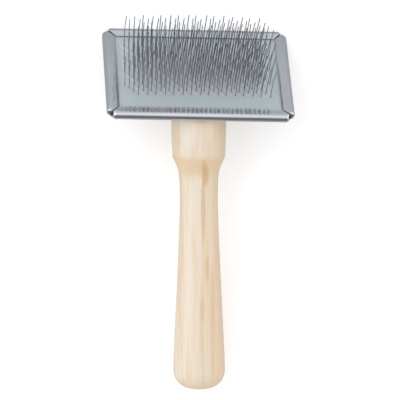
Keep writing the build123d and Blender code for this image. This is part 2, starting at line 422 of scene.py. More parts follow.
def build_outer_edges():
    """A mask of the outer edges and corners, with which the wood is painted darker as shade, and the tin
    brighter, partly as wear and partly as painted glints.
    """
    group, given, result = new_group("Rubbed edges", {"Start": 0.52, "Full": 0.6}, "Mask")
    surface = group.nodes.new("ShaderNodeNewGeometry")
    feed(result, step_between(surface.outputs["Pointiness"], given["Start"], given["Full"]))
    return group


def use_group(tree, name, build, **inputs):
    """Places a group in a material, built at its first use, and returns its output."""
    group = bpy.data.node_groups.get(name) or build()
    return add_node(tree, "ShaderNodeGroup", {"node_tree": group}, **inputs).outputs[0]


def mottled(vector, scale, contrast):
    tree = vector.id_data
    return use_group(tree, "Mottle", build_mottle, Vector=vector, Scale=scale, Contrast=contrast)


def scratched(vector, scale, sparseness):
    inputs = {"Vector": vector, "Scale": scale, "Sparseness": sparseness}
    return use_group(vector.id_data, "Fine scratches", build_scratches, **inputs)


def outer_edges(tree, start_at, full_at):
    return use_group(tree, "Rubbed edges", build_outer_edges, Start=start_at, Full=full_at)


def new_material(name):
    """A material with only a Principled surface, its tree, and that surface."""
    material = bpy.data.materials.new(name)
    material.use_nodes = True
    return material, material.node_tree, material.node_tree.nodes["Principled BSDF"]


def dress(surface, **inputs):
    """Feeds the surface's inputs by name."""
    for name, value in inputs.items():
        feed(surface.inputs[name.replace("_", " ")], value)


def bump(surface, height, strength, distance):
    """Raises the surface by the height, through the surface's Normal."""
    made = add_node(surface.id_data, "ShaderNodeBump", Height=height, Strength=strength, Distance=distance)
    feed(surface.inputs["Normal"], made.outputs["Normal"])


def object_vector(tree):
    return tree.nodes.new("ShaderNodeTexCoord").outputs["Object"]


def own_vector(tree, matrix):
    """Object coordinates turned into a piece's own frame."""
    turned = add_node(
        tree,
        "ShaderNodeMapping",
        {"vector_type": "TEXTURE"},
        Vector=object_vector(tree),
        Location=matrix.translation,
        Rotation=matrix.to_euler(),
    )
    return turned.outputs["Vector"]


# Materials


# Marks in the wood, and pale spots that are partly a paler tone of the wood and partly a painted highlight
# down the lit left side, in the handle's own frame: middle and half-size in mm, and strength
MINERAL_STREAKS = (
    ((2.7, -44.0, 10.7), (2.3, 8.5, 12.0), 0.8),
    ((1.4, -38.5, 10.7), (1.4, 6.0, 12.0), 0.6),
    ((1.5, -62.0, 10.7), (1.6, 26.0, 12.0), 0.6),
    ((6.6, -130.0, 10.7), (2.2, 40.0, 12.0), 0.4),
    ((3.7, -97.0, 10.7), (1.3, 10.0, 12.0), 0.55),
    ((0.5, -120.0, 10.7), (2.2, 9.0, 12.0), 0.35),
)
PALE_SPOTS_AND_HIGHLIGHT = (
    ((-7.0, -16.0, 15.3), (7.0, 17.0, 18.0), 0.7),
    ((5.0, -14.0, 15.3), (3.0, 12.0, 14.0), 0.4),
    ((-4.0, -60.0, 10.7), (3.0, 22.0, 12.0), 0.4),
    ((-5.0, -125.0, 14.6), (4.0, 50.0, 14.0), 0.4),
)
PALE_SPOT_AND_HIGHLIGHT_COLOUR = (0.79, 0.735, 0.65)
FROM_PITH = (0.021, 0.0, 0.034)  # where the handle's axis is, from the middle of the rings, in metres


def soft_spots(wood, parts, spots, ragged, spot_colour):
    """Blends long soft-edged spots into the wood, each broken up by the ragged mask."""
    for centre, size, depth in spots:
        squares = []
        for axis, middle, reach in zip("XYZ", centre, size):
            away = calculate("SUBTRACT", parts.outputs[axis], middle * MM)
            away = calculate("DIVIDE", away, reach * MM)
            squares.append(calculate("MULTIPLY", away, away))
        inside = step_between(calculate("ADD", *squares), 1.0, 0.15)
        wood = blend_colours(calculate("MULTIPLY", inside, depth, ragged), wood, spot_colour)
    return wood


def wood_material(handle):
    """Pale lacquered birch with the grain along the handle."""
    material, tree, surface = new_material("Lacquered birch")
    vector = own_vector(tree, handle_matrix(handle))
    parts = add_node(tree, "ShaderNodeSeparateXYZ", Vector=vector)
    from_pith = change_vector("ADD", vector, FROM_PITH)
    rings = add_node(
        tree,
        "ShaderNodeTexWave",
        {"wave_type": "RINGS", "rings_direction": "Y"},
        Vector=stretched(from_pith, (1.0, 0.14, 1.0)),
        Scale=95.0,
        Distortion=5.0,
        Detail=3.0,
        Detail_Scale=0.6,
    )
    grain = step_between(rings.outputs["Fac"], 0.35, 1.0)
    patches = mottled(stretched(vector, (1.0, 0.1, 1.0)), 130.0, 2.4)
    fibres = fog(stretched(vector, (1.0, 0.02, 1.0)), 1900.0, Detail=4.0, Roughness=0.7)
    pores = fog(stretched(vector, (1.0, 0.05, 1.0)), 3600.0, Detail=2.0)
    long_way = stretched(vector, (1.0, 0.035, 0.25))
    streaks = fog(long_way, 420.0, Detail=4.0, Roughness=0.55, Distortion=0.3)
    down = calculate("MULTIPLY", parts.outputs["Y"], -1.0)
    # Painted shade, broken up by the wood's fibres: a band round the shoulder, the end of the grip (rim),
    # and a contact shadow on the collar's top under the pan (seat)
    band = calculate(
        "MULTIPLY",
        step_between(down, handle.break_down - 2 * MM, handle.break_down + 2.5 * MM),
        step_between(down, handle.shoulder_down + 9 * MM, handle.shoulder_down + 3 * MM),
    )
    rim = step_between(down, handle.full_length - 8 * MM, handle.full_length)
    seat = step_between(down, 17 * MM, 12 * MM)
    painted_shade_bands = calculate("MAXIMUM", band, rim, seat)
    fibre_breakup = step_between(fibres, 0.3, 0.7, 0.55, 1.0)
    ragged = step_between(fibres, 0.2, 0.6, 0.5, 1.0)
    edge_mask = outer_edges(tree, 0.51, 0.56)
    grained = calculate("MULTIPLY", grain, patches, 0.35)
    wood = blend_colours(grained, handle.pale_wood, handle.grain_and_shade_wood)
    for amount, darker in (
        (step_between(streaks, 0.42, 0.70, 0.0, 0.75), handle.grain_and_shade_wood),
        (step_between(fibres, 0.42, 0.75, 0.0, 0.35), handle.grain_and_shade_wood),
        (step_between(pores, 0.60, 0.78, 0.0, 0.45), handle.streak_wood),
        # painted shade: darker towards the right side (+X), away from the softbox, also standing for a
        # warmer heartwood tone there
        (step_between(parts.outputs["X"], -2 * MM, 11 * MM, 0.0, 0.62), handle.grain_and_shade_wood),
        # painted shade on the shoulder, the grip's end and the collar's top under the pan
        (calculate("MULTIPLY", painted_shade_bands, fibre_breakup), handle.grain_and_shade_wood),
    ):
        wood = blend_colours(amount, wood, darker)
    # paler spots, partly the wood's own tone and partly a painted highlight left of the middle, on the side
    # the softbox lights
    wood = soft_spots(wood, parts, PALE_SPOTS_AND_HIGHLIGHT, fibre_breakup, PALE_SPOT_AND_HIGHLIGHT_COLOUR)
    wood = soft_spots(wood, parts, MINERAL_STREAKS, ragged, handle.streak_wood)
    # painted shade: the wood's outer edges and corners darkened
    wood = blend_colours(calculate("MULTIPLY", edge_mask, 0.25), wood, handle.grain_and_shade_wood)
    dress(surface, Base_Color=wood, Roughness=step_between(patches, 0.2, 0.8, 0.36, 0.48))
    dress(surface, Coat_Weight=0.6, Coat_Roughness=0.3)
    height = calculate("ADD", fibres, calculate("MULTIPLY", grain, 0.4))
    bump(surface, height, 0.18, 0.12 * MM)
    return material


def tin_material(pan):
    """Bright tinned sheet, a little dulled, with fine scratches."""
    material, tree, surface = new_material("Bright tinplate")
    vector = object_vector(tree)
    dull = mottled(vector, 55.0, 1.8)
    scratches = scratched(vector, 1400.0, 0.63)
    edge_mask = outer_edges(tree, 0.53, 0.62)
    metal = blend_colours(calculate("MULTIPLY", dull, 0.6), pan.tin, pan.tin_shade)
    # the tin's outer edges brightened: partly worn bright, partly painted glints
    metal = blend_colours(calculate("MULTIPLY", edge_mask, 0.5), metal, (0.78, 0.79, 0.80))
    rough = step_between(dull, 0.1, 0.9, 0.05, 0.11)
    rough = calculate("ADD", rough, calculate("MULTIPLY", scratches, 0.12))
    dress(surface, Base_Color=metal, Metallic=1.0, Roughness=rough)
    waves = fog(vector, 60.0, Detail=2.0)
    height = calculate("SUBTRACT", waves, calculate("MULTIPLY", scratches, 0.02))
    bump(surface, height, 0.2, 0.3 * MM)
    return material


def rubber_material(pad):
    """Matte grey rubber, lighter and a little warmer among the wires, partly a tint and partly painted light
    that lifts the wires' shade, with painted shade in its creases and round each wire.
    """
    material, tree, surface = new_material("Grey pad rubber")
    vector = object_vector(tree)
    worked = add_node(tree, "ShaderNodeAttribute", {"attribute_name": "worked"}).outputs["Fac"]
    creased = add_node(tree, "ShaderNodeAttribute", {"attribute_name": "creased"}).outputs["Fac"]
    patches = mottled(vector, 420.0, 1.6)
    specks = fog(vector, 2600.0, Detail=3.0)
    # painted light: the rubber among the wires is lighter, lifting the wires' shade, and a little warmer
    rubber = blend_colours(worked, pad.rubber, pad.tinted_lit_rubber)
    for amount, shade, of_colour in (
        (calculate("MULTIPLY", patches, 0.15), 0.82, pad.rubber),
        (step_between(specks, 0.55, 0.75, 0.0, 0.2), 1.2, pad.tinted_lit_rubber),
        # painted shade in the creases and round the foot of each wire
        (calculate("MULTIPLY", creased, 0.42), 0.42, pad.tinted_lit_rubber),
    ):
        rubber = blend_colours(amount, rubber, [shade * c for c in of_colour])
    dress(surface, Base_Color=rubber, Roughness=step_between(patches, 0.2, 0.8, 0.66, 0.82))
    bump(surface, calculate("ADD", specks, patches), 0.3, 0.1 * MM)
    return material


def wire_material(wires):
    """Drawn spring wire, dark between fine drawing marks."""
    material, tree, surface = new_material("Drawn spring wire")
    vector = object_vector(tree)
    marks = scratched(vector, 3200.0, 0.5)
    patches = mottled(vector, 240.0, 2.0)
    steel = blend_colours(patches, wires.steel, [1.5 * c for c in wires.steel])
    worn = calculate("MULTIPLY", marks, 0.35)
    steel = blend_colours(worn, steel, [0.5 * c for c in wires.steel])
    rough = step_between(patches, 0.1, 0.9, 0.28, 0.42)
    dress(surface, Base_Color=steel, Metallic=1.0, Roughness=rough)
    bump(surface, marks, 0.2, 0.03 * MM)
    return material


def screw_material():
    """Zinc-plated screw steel with a slight straw tint."""
    material, tree, surface = new_material("Zinc-plated steel")
    vector = object_vector(tree)
    patches = mottled(vector, 700.0, 2.0)
    marks = scratched(vector, 2500.0, 0.58)
    zinc = blend_colours(patches, (0.66, 0.65, 0.60), (0.54, 0.52, 0.46))
    zinc = blend_colours(calculate("MULTIPLY", marks, 0.4), zinc, (0.80, 0.80, 0.78))
    rough = step_between(patches, 0.1, 0.9, 0.3, 0.45)
    dress(surface, Base_Color=zinc, Metallic=1.0, Roughness=rough)
    bump(surface, marks, 0.2, 0.05 * MM)
    return material


def cloth_material(matrix):
    """Unbleached plain weave, its threads along and across the pad."""
    material, tree, surface = new_material("Woven foundation cloth")
    vector = own_vector(tree, matrix)
    threads = []
    yarn = {"Scale": 420.0, "Distortion": 0.6, "Detail": 1.0}
    for direction in "XY":
        bands = {"wave_type": "BANDS", "bands_direction": direction}
        wave = add_node(tree, "ShaderNodeTexWave", bands, Vector=vector, **yarn)
        threads.append(wave.outputs["Fac"])
    weave = calculate("MAXIMUM", *threads)
    patches = mottled(vector, 300.0, 1.5)
    cloth = blend_colours(weave, (0.42, 0.38, 0.30), (0.66, 0.62, 0.53))
    cloth = blend_colours(calculate("MULTIPLY", patches, 0.3), cloth, (0.50, 0.44, 0.34))
    dress(surface, Base_Color=cloth, Roughness=0.92, Sheen_Weight=0.2)
    bump(surface, weave, 0.6, 0.15 * MM)
    return material


def felt_material():
    """Pressed grey felt with stray fibres."""
    material, tree, surface = new_material("Pressed felt")
    vector = object_vector(tree)
    patches = mottled(vector, 260.0, 2.2)
    hairs = scratched(vector, 1500.0, 0.55)
    felt = blend_colours(patches, (0.44, 0.42, 0.38), (0.60, 0.58, 0.54))
    felt = blend_colours(calculate("MULTIPLY", hairs, 0.5), felt, (0.74, 0.72, 0.68))
    dress(surface, Base_Color=felt, Roughness=0.95, Sheen_Weight=0.3)
    bump(surface, calculate("ADD", patches, hairs), 0.5, 0.2 * MM)
    return material


def floor_material(stage):
    """Plain pale matte floor. Reflections see it dimmer, as if a grey surround stood close about it."""
    material, tree, surface = new_material("Pale floor")
    vector = object_vector(tree)
    patches = mottled(vector, 3.0, 0.4)
    paint = blend_colours(patches, stage.floor, [0.985 * c for c in stage.floor])
    away = add_node(tree, "ShaderNodeVectorMath", {"operation": "LENGTH"}, Vector=vector)
    far = step_between(away.outputs["Value"], 0.08, 0.45)
    # in reflections the floor is darker near the brush: a painted shadow
    surround = blend_colours(far, stage.near_reflection_shade, stage.far_surround)
    ray = tree.nodes.new("ShaderNodeLightPath")
    paint = blend_colours(ray.outputs["Is Glossy Ray"], paint, surround)
    dress(surface, Base_Color=paint, Roughness=0.9, Specular_IOR_Level=0.1)
    dress(surface, Emission_Color=(1, 1, 1, 1), Emission_Strength=0.24)
    return material


# The handle


def handle_outline(handle):
    """Radius and distance from the pan, down the handle, from above the cut to the end's flat."""
    collar = Vector((handle.collar_radius, -handle.collar_end))
    corner = Vector((handle.break_radius, -handle.break_down))
    shoulder = Vector((handle.shoulder_radius, -handle.shoulder_down))
    neck = Vector((handle.neck_radius, -handle.neck_down))
    arc_centre = Vector((handle.grip_radius - handle.end_radius, handle.end_radius - handle.full_length))
    grip = Vector((handle.grip_radius, arc_centre.y))
    down = Vector((0, -1))
    taper = Vector((-math.sin(handle.collar_taper), -math.cos(handle.collar_taper)))
    slope = Vector((-math.sin(handle.shoulder_slope), -math.cos(handle.shoulder_slope)))
    narrowing = (corner - collar).length / 3
    turn = (shoulder - corner).length
    hollow = (neck - shoulder).length
    swell = (grip - neck).length / 10
    above_cut = 2 * handle.collar_radius
    outline = [Vector((collar.x, above_cut + (collar.y - above_cut) * i / 8)) for i in range(9)]
    outline += bezier((collar, collar + down * narrowing, corner - taper * narrowing, corner), 5)
    outline += bezier((corner, corner + taper * turn / 3, shoulder - slope * turn / 2, shoulder), 8)
    outline += bezier((shoulder, shoulder + slope * hollow / 4.5, neck - down * hollow * 0.7, neck), 14)
    outline += bezier((neck, neck + down * swell * 2, grip - down * swell, grip), 30)
    steps = 12
    for i in range(1, steps + 1):
        turned = -math.pi / 2 * i / steps
        outline.append(arc_centre + handle.end_radius * Vector((math.cos(turned), math.sin(turned))))
    return outline


class BRUSH_OT_handle(bpy.types.Operator):
    """Turn the wooden handle and cut it where it seats on the pan"""

    bl_idname = "brush.handle"
    bl_label = "Turned handle"

    def execute(self, context):
        handle = context.scene.brush_handle
        outline = handle_outline(handle)
        piece = start(
            "circle",
            "turned_handle",
            vertices=96,
            radius=outline[0].x,
            location=(0, outline[0].y, 0),
            rotation=(math.pi / 2, 0, 0),
        )
        pick_all()
        for before, point in zip(outline, outline[1:]):
            extrude((0, point.y - before.y, 0))
            factor = point.x / before.x
            scale_about((factor, 1, factor), (0, point.y, 0))
        bpy.ops.mesh.edge_face_add()
        bpy.ops.mesh.inset(thickness=handle.end_radius / 10)
        bpy.ops.mesh.poke()
        leave_edit()
        put_in_frame(piece, handle_matrix(handle))
        seat = head_matrix(context.scene)
        enter_edit()
        pick_all()
        bpy.ops.mesh.bisect(
            plane_co=seat.translation, plane_no=seat.to_3x3().col[2], use_fill=True, clear_outer=True
        )
        face_outwards()
        into_pan = seat.inverted()
        pick(piece, "edges", lambda edge: all(abs((into_pan @ v.co).z) < 0.02 * MM for v in edge.verts))
        bpy.ops.mesh.bevel(offset=0.25 * MM, segments=2)
        leave_edit()
        finish_piece(piece, wood_material(handle), "turned_wood", "handle")
        return {"FINISHED"}


# The pan


EDGE_CUTS = 35
HEM_STEPS = 14
# Shares of the side flanges' curl. The near flange's edge is sprung up instead
FAR_CURL = 0.3
NEAR_CURL = -0.45
CRIMPED = 0.7  # how far the hems' open ends are closed
DENTS = 0.12 * MM
CUT_ROUNDING = 0.12 * MM


def crowd_ends(piece, lengthwise, crimp):
    """Moves the selected edge's vertices next to its ends closer to them, to leave room for a tight bend."""
    mesh = bmesh.from_edit_mesh(piece.data)
    line = sorted((v for v in mesh.verts if v.select), key=lambda v: v.co.dot(lengthwise))
    for order in (line, line[::-1]):
        end = order[0].co.dot(lengthwise)
        inwards = lengthwise if end < 0 else -lengthwise
        for vertex, part in zip(order[1:4], (0.35, 0.7, 1.0)):
            from_end = abs(vertex.co.dot(lengthwise) - end)
            vertex.co += inwards * (crimp * part - from_end)
    bmesh.update_edit_mesh(piece.data)


def fold_edge(piece, pan, across, along, side):
    """Rolls one side of the flat back into a hem and turns its flange in, mitred at both ends."""
    edge_at = across / 2 - pan.hem_radius
    out = Vector((side, 0, 0)) if along == "y" else Vector((0, side, 0))
    lengthwise = Vector((0, 1, 0)) if along == "y" else Vector((1, 0, 0))
    near = 0.01 * MM

    def on_fold(vertex):
        return abs(vertex.co.dot(out) - edge_at) < near and abs(vertex.co.z) < near

    pick(piece, "edges", lambda edge: all(on_fold(vertex) for vertex in edge.verts))
    centre = out * edge_at + Vector((0, 0, pan.hem_radius))
    crowd_ends(piece, lengthwise, pan.crimp)
    start_tilt = pan.flange_tilt / 2
    roll(HEM_STEPS, math.pi + start_tilt, centre, out.cross(Vector((0, 0, 1))))
    reach = pan.flange_width - pan.hem_radius - pan.hem_radius * math.sin(start_tilt)
    curl = pan.flange_curl * {1: FAR_CURL, -1: NEAR_CURL, 0: 1}[round(out.y)]
    lip = pan.curl_width / 3
    flat = (reach - pan.curl_width) / 3
    strips = [(flat, start_tilt)] * 3 + [(lip, start_tilt + curl * part) for part in (0.5, 0.8, 1)]
    for run, tilt in strips:
        extrude(-out * run - Vector((0, 0, run * math.tan(tilt))))
        mesh = bmesh.from_edit_mesh(piece.data)
        half = max(abs(v.co.dot(lengthwise)) for v in mesh.verts if v.select)
        factor = (half - run) / half
        factors = (1, factor, 1) if along == "y" else (factor, 1, 1)
        scale_about(factors, (0, 0, 0))


class BRUSH_OT_pan(bpy.types.Operator):
    """Fold the tinned head pan from one sheet"""

    bl_idname = "brush.pan"
    bl_label = "Folded pan"

    def execute(self, context):
        pan = context.scene.brush_pan
        flat = (pan.width - 2 * pan.hem_radius, pan.height - 2 * pan.hem_radius, 1)
        piece = start("plane", "folded_pan", size=1)
        pick_all()
        scale_about(flat, (0, 0, 0))
        bpy.context.tool_settings.mesh_select_mode = (True, False, False)
        bpy.ops.mesh.bevel(offset=pan.corner_cut, segments=1, affect="VERTICES")
        pick(piece, "edges", lambda edge: edge.calc_length() > 5 * pan.corner_cut)
        bpy.ops.mesh.subdivide(number_cuts=EDGE_CUTS)
        for across, along in ((pan.width, "y"), (pan.height, "x")):
            for side in (1, -1):
                fold_edge(piece, pan, across, along, side)
        pick_all()
        bpy.ops.mesh.remove_doubles(threshold=0.001 * MM)
        leave_edit()
        self.crimp_ends(piece, pan)
        self.press_by_hand(piece, pan)
        inside = self.inward(piece)
        apply_modifier(piece, "SOLIDIFY", thickness=pan.sheet, offset=inside, use_even_offset=True)
        apply_modifier(piece, "BEVEL", width=CUT_ROUNDING, segments=2, limit_method="ANGLE", angle_limit=0.9)
        enter_edit()
        face_outwards()
        leave_edit()
        put_in_frame(piece, head_matrix(context.scene))
        finish_piece(piece, tin_material(pan), "tinned_steel", "head_pan", smooth=30)
        return {"FINISHED"}

    def crimp_ends(self, piece, pan):
        """Presses the open ends of the hems' half rounds in towards their own axes."""
        outer = pan.hem_radius
        near = 0.01 * MM
        for vertex in piece.data.vertices:
            for out, along, wide, high in ((0, 1, pan.width, pan.height), (1, 0, pan.height, pan.width)):
                axis_at = wide / 2 - outer
                from_axis = abs(vertex.co[out]) - axis_at
                from_end = (high / 2 - outer - pan.corner_cut) - abs(vertex.co[along])
                if from_axis > near and -near < from_end < pan.crimp:
                    along_crimp = min(1.0, 1 - from_end / pan.crimp)
                    pinch = 1 - CRIMPED * (1 - math.sqrt(1 - along_crimp * along_crimp))
                    vertex.co[out] = math.copysign(axis_at + from_axis * pinch, vertex.co[out])
                    vertex.co.z = outer + (vertex.co.z - outer) * pinch

    def press_by_hand(self, piece, pan):
        """Gives the flanges and hems the slight waviness of pressed sheet."""
        for vertex in piece.data.vertices:
            lifted = max(0.0, vertex.co.z / (2 * pan.hem_radius))
            wave = noise.noise(Vector((vertex.co.x * 60, vertex.co.y * 60, 3.0)))
            vertex.co.z += wave * DENTS * lifted

    def inward(self, piece):
        """The Solidify offset that puts the sheet's thickness inside the folded shape."""
        back = min(piece.data.polygons, key=lambda face: face.center.z)
        return -1 if back.normal.z < 0 else 1


# The pad


PAD_GRID = (248, 168)
RIPPLE = 0.04 * MM
CREASE_WIDTH = 0.24 * MM
ZONE_FADE = 0.5 * MM


def swell(t):
    """The crown's profile across the pad, 0 at both edges of the opening."""
    return 1 - (1 - t) ** 4 - t**4


def swell_slope(t):
    return 4 * ((1 - t) ** 3 - t**3)


def pad_rise(scene, u, v):
    """Height of the crown above the pad's edge, and its slopes along u and v."""
    pan, pad = scene.brush_pan, scene.brush_pad
    wide = pan.width - 2 * pan.flange_width
    high = pan.height - 2 * pan.flange_width
    s, t = u / wide + 0.5, v / high + 0.5
    if not (0 < s < 1 and 0 < t < 1):
        return 0.0, 0.0, 0.0
    peak = pad.crown / swell(0.5) ** 2
    return (
        peak * swell(s) * swell(t),
        peak * swell_slope(s) * swell(t) / wide,
        peak * swell(s) * swell_slope(t) / high,
    )


def staple_places(wires):
    """The middle of every staple in the pan's plane, by row."""
    restart = wires.staple_pitch - wires.twill_rows * wires.twill_step
    rows = []
    for row in range(wires.rows):
        group, step = divmod(row, wires.twill_rows)
        first = wires.first_leg + wires.leg_spacing / 2 + group * restart - step * wires.twill_step
        v = wires.first_row + row * wires.row_pitch
        rows.append([(first + i * wires.staple_pitch, v) for i in range(wires.staples)])
    return rows


class BRUSH_OT_pad(bpy.types.Operator):
    """Mould the crowned rubber face of the pad, drawn up round each wire"""

    bl_idname = "brush.pad"
    bl_label = "Rubber pad"

    def execute(self, context):
        scene = context.scene
        pan, pad, wires = scene.brush_pan, scene.brush_pad, scene.brush_wires
        wide = pan.width - 2 * pad.margin
        high = pan.height - 2 * pad.margin
        piece = start("grid", "rubber_pad", x_subdivisions=PAD_GRID[0], y_subdivisions=PAD_GRID[1], size=1)
        pick_all()
        scale_about((wide, high, 1), (0, 0, 0))
        cut = (pan.corner_cut + pan.hem_radius) / math.sqrt(2)
        for x, y in ((1, 1), (1, -1), (-1, 1), (-1, -1)):
            outwards = Vector((x, y, 0)).normalized()
            corner = Vector((x * wide / 2, y * high / 2, 0)) - outwards * cut
            pick_all()
            bpy.ops.mesh.bisect(plane_co=corner, plane_no=outwards, clear_outer=True)
        leave_edit()
        half = wires.leg_spacing / 2
        legs = [(u + s * half, v) for row in staple_places(wires) for u, v in row for s in (-1, 1)]
        self.shape(scene, piece, legs)
        apply_modifier(piece, "SOLIDIFY", thickness=pad.face, offset=-1)
        put_in_frame(piece, head_matrix(scene))
        finish_piece(piece, rubber_material(pad), "rubber_face", "pad_face", smooth=60)
        return {"FINISHED"}

    def shape(self, scene, piece, legs):
        """Crowns the grid, raises the puckers, sinks the creases, and marks the zone among the wires and the
        painted shade in the creases and round each wire.
        """
        pad = scene.brush_pad
        worked = piece.data.attributes.new("worked", "FLOAT", "POINT")
        creased = piece.data.attributes.new("creased", "FLOAT", "POINT")
        cell = 4 * MM
        near = {}
        for u, v in legs:
            near.setdefault((math.floor(u / cell), math.floor(v / cell)), []).append((u, v))
        for vertex in piece.data.vertices:
            u, v = vertex.co.x, vertex.co.y
            rise = pad_rise(scene, u, v)[0]
            i, j = math.floor(u / cell), math.floor(v / cell)
            beside = [leg for a in (-1, 0, 1) for b in (-1, 0, 1) for leg in near.get((i + a, j + b), ())]
            away = min((math.hypot(u - x, v - y) for x, y in beside), default=cell)
            drawn = math.exp(-((away / pad.pucker_radius) ** 2))
            ripple = noise.noise(Vector((u * 260, v * 260, 1.0)))
            zone, crease = self.twill(scene.brush_wires, u, v)
            lifted = pad.pucker * drawn - pad.crease * crease * (1 - drawn)
            vertex.co.z = pad.level + rise + lifted + RIPPLE * ripple * min(1.0, rise / pad.face)
            # the zone among the wires, which the rubber's material paints lighter
            worked.data[vertex.index].value = zone
            # painted shade: the creases, and round the foot of each wire
            creased.data[vertex.index].value = max(crease, 1.2 * drawn * drawn)

    def twill(self, wires, u, v):
        """How far a place is inside the twill of wires, and how near to one of its diagonal creases."""
        pitch = wires.staple_pitch
        rows_up = (v - wires.first_row) / wires.row_pitch
        across = u - wires.first_leg + wires.twill_step * rows_up
        last = (wires.staples - 1) * pitch + wires.leg_spacing
        outermost = wires.first_leg - (wires.twill_rows - 1) * wires.twill_step
        from_first = min(across + ZONE_FADE, u - outermost + 2 * ZONE_FADE) / ZONE_FADE
        from_row = (v - wires.first_row + ZONE_FADE) / ZONE_FADE
        from_last = (wires.first_leg + last + 2 * ZONE_FADE - u) / ZONE_FADE
        from_top = (wires.rows - rows_up) * 2
        zone = min(1.0, max(0.0, min(from_first, from_row, from_last, from_top)))
        nearest = min(abs((across - leg + pitch / 2) % pitch - pitch / 2) for leg in (0, wires.leg_spacing))
        slant = math.cos(math.atan2(wires.twill_step, wires.row_pitch))
        return zone, zone * math.exp(-((nearest * slant / CREASE_WIDTH) ** 2))


# The wires


WORN_POINT = 0.85  # width of a wire's very end, against the wire's
WEAR_SEED = 41


class BRUSH_OT_wires(bpy.types.Operator):
    """Bend one wire staple, and set copies of it in the twill rows of the pad"""

    bl_idname = "brush.wires"
    bl_label = "Wire rows"

    def execute(self, context):
        scene = context.scene
        wires = scene.brush_wires
        staple = self.bend_staple(wires)
        material = wire_material(wires)
        head = head_matrix(scene)
        draw = random.Random(WEAR_SEED)
        for number, row in enumerate(staple_places(wires), start=1):
            copies = []
            for u, v in row:
                copy = staple.copy()
                copy.data = staple.data.copy()
                context.collection.objects.link(copy)
                self.stray(copy, wires, draw)
                put_in_frame(copy, head @ self.stand(scene, u, v))
                copies.append(copy)
            bpy.ops.object.select_all(action="DESELECT")
            for copy in copies:
                copy.select_set(True)
            context.view_layer.objects.active = copies[0]
            bpy.ops.object.join()
            piece = context.object
            piece.name = f"wire_row_{number:02d}"
            piece.data.name = piece.name
            finish_piece(piece, material, "spring_wire", f"staple_row_{number:02d}", smooth=50)
        bpy.data.objects.remove(staple)
        return {"FINISHED"}

    def stand(self, scene, u, v):
        """Where a staple stands on the crowned pad, and how it leans."""
        rise, slope_u, slope_v = pad_rise(scene, u, v)
        fan = scene.brush_wires.fan
        lean = Euler((math.atan(slope_v * fan), -math.atan(slope_u * fan), 0)).to_matrix().to_4x4()
        return Matrix.Translation((u, v, scene.brush_pad.level + rise)) @ lean

    def bend_staple(self, wires):
        """One U of wire, its pad surface at z = 0: half is bent from its middle, and mirrored."""
        side = wires.leg_spacing / 2
        bend, knee = wires.crown_radius, wires.knee_radius
        piece = start(
            "circle",
            "staple",
            vertices=6,
            radius=wires.wire / 2,
            fill_type="NGON",
            location=(0, 0, -wires.depth),
            rotation=(0, math.pi / 2, 0),
        )
        bpy.context.tool_settings.mesh_select_mode = (False, False, True)
        pick_all()
        extrude((side - bend, 0, 0))
        roll(3, math.pi / 2, (side - bend, 0, bend - wires.depth), (0, -1, 0))
        self.reach(piece, Vector((side, 0, bend - wires.depth)))
        turn_length = knee * math.tan(wires.knee / 2)
        low = wires.shank - turn_length
        for step in (wires.depth - bend, low / 3, low / 3, low / 3):
            extrude((0, 0, step))
        roll(3, wires.knee, (side, -knee, low), (1, 0, 0))
        direction = Vector((0, -math.sin(wires.knee), math.cos(wires.knee)))
        run = wires.tip - turn_length
        point = wires.wire / 2
        for step in ((run - point) / 2, (run - point) / 2, point):
            extrude(direction * step)
        scale_about([WORN_POINT] * 3, self.middle(piece))
        pick(piece, "faces", lambda face: all(abs(v.co.x) < 0.001 * MM for v in face.verts))
        bpy.ops.mesh.delete(type="FACE")
        leave_edit()
        apply_modifier(piece, "MIRROR", use_axis=(True, False, False), merge_threshold=0.01 * MM)
        enter_edit()
        pick_all()
        bpy.ops.mesh.remove_doubles(threshold=0.005 * MM)
        face_outwards()
        leave_edit()
        return piece

    def middle(self, piece):
        """The middle of the selected vertices."""
        mesh = bmesh.from_edit_mesh(piece.data)
        chosen = [v.co for v in mesh.verts if v.select]
        return sum(chosen, Vector()) / len(chosen)

    def reach(self, piece, target):
        """Raises an error if the wire's end isn't where the bend should have brought it."""
        if (self.middle(piece) - target).length > 0.05 * MM:
            raise RuntimeError(f"the wire's bend ended at {self.middle(piece)}, not {target}")

    def stray(self, piece, wires, draw):
        """Bends the two legs a little, each its own way, as use does."""
        full = wires.shank + wires.tip
        bends = {side: (draw.gauss(0, 1), draw.gauss(0, 1), draw.gauss(0, 1)) for side in (-1, 1)}
        for vertex in piece.data.vertices:
            if vertex.co.z <= 0:
                continue
            sideways, lengthwise, bow = bends[1 if vertex.co.x > 0 else -1]
            t = vertex.co.z / full
            vertex.co.x += wires.stray * (sideways * t * t + 0.5 * bow * t * (1 - t))
            vertex.co.y += wires.stray * (lengthwise * t * t + 0.5 * bow * t * (1 - t))


# The layers under the rubber, and the screws


class BRUSH_OT_inside(bpy.types.Operator):
    """Give the cloth, the felt and the fixing screws their finishes"""

    bl_idname = "brush.inside"
    bl_label = "Cloth, felt and screws"

    def execute(self, context):
        finishes = {
            "pad_cloth": cloth_material(head_matrix(context.scene)),
            "pad_felt": felt_material(),
            "fixing_screws": screw_material(),
        }
        for node, material in finishes.items():
            mesh = frame["nodes"][node].data
            mesh.materials.clear()
            mesh.materials.append(material)
        return {"FINISHED"}


# The stage


# The room in reflections, along the brush (Y) and across it (X): the directions between which its level
# changes, and the levels there. The last two are windows on the left and the right
ROOM_LEVELS = (
    ("Y", -0.45, -0.1, 0.22, 0.86),
    ("X", -0.45, -0.75, 0.0, 0.3),
    ("X", 0.5, 0.8, 0.0, 0.5),
)
# A brighter strip above and beyond the head: its near side and its far side
STRIP_LEVELS = ((0.0, 0.35, 0.0, 0.35), (0.9, 0.6))


